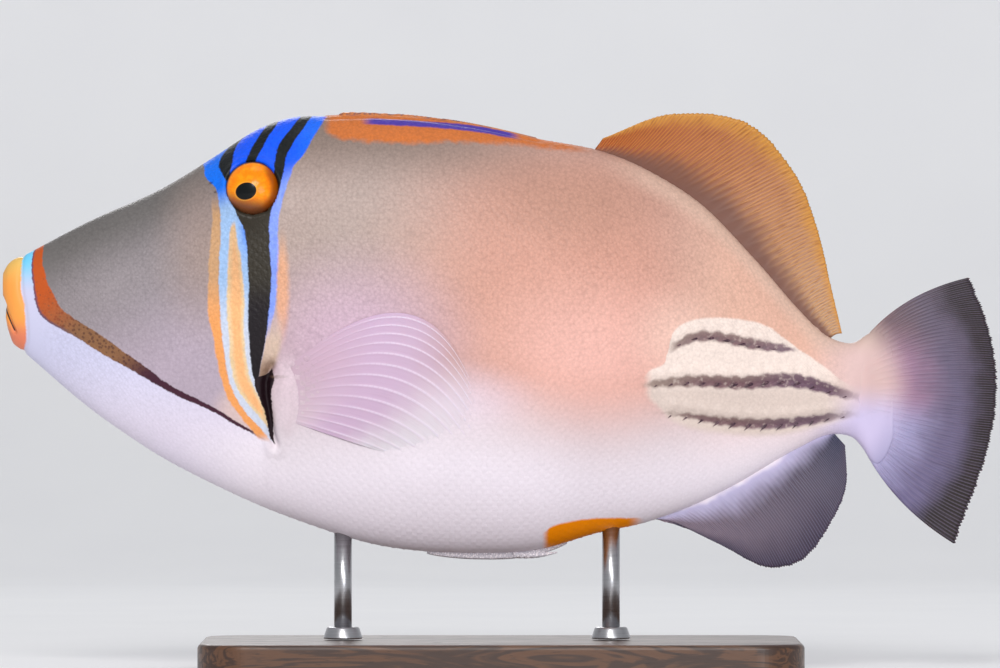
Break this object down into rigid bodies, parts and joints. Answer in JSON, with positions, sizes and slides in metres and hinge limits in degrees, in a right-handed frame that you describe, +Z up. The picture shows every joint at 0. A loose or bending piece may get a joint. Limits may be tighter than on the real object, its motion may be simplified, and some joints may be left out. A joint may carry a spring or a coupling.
{
  "type": "picasso triggerfish",
  "caption": "Life-size still model of a picasso triggerfish held over a flat base by two short rods, for display",
  "frame": {"origin": "the middle of the bounding box in plan, on the underside of the stand's base", "axes": "+X runs along the fish from its nose to its tail, +Y from its left side to its right side, +Z up"},
  "size_m": [0.2491, 0.084, 0.1399],
  "materials": {
    "skin": "moist painted skin, finely pebbled, salmon over white with dark, blue and orange markings",
    "lips": "smooth moist orange lips",
    "eyes": "clear glossy eye, orange with a black pupil",
    "folded_fin": "orange folded membrane over rough spines",
    "dorsal_membrane": "thin amber membrane with raised rays",
    "fin_membrane": "thin lilac-grey membrane with raised rays",
    "flap": "pale rough skin",
    "stand_wood": "dark stained hardwood, satin",
    "stand_metal": "satin steel"
  },
  "bodies": {
    "root": {"lip_upper": "lips", "lip_lower": "lips", "head": "skin", "torso": "skin", "tail_stalk": "skin", "eye_left": "eyes", "eye_right": "eyes", "dorsal_fin_first": "folded_fin", "dorsal_fin_second": "dorsal_membrane", "anal_fin": "fin_membrane", "caudal_fin": "fin_membrane", "pectoral_fin_left": "fin_membrane", "pectoral_fin_right": "fin_membrane", "pelvic_flap": "flap", "stand_base": "stand_wood", "stand_rod_1": "stand_metal", "stand_rod_2": "stand_metal"}
  },
  "joints": []
}
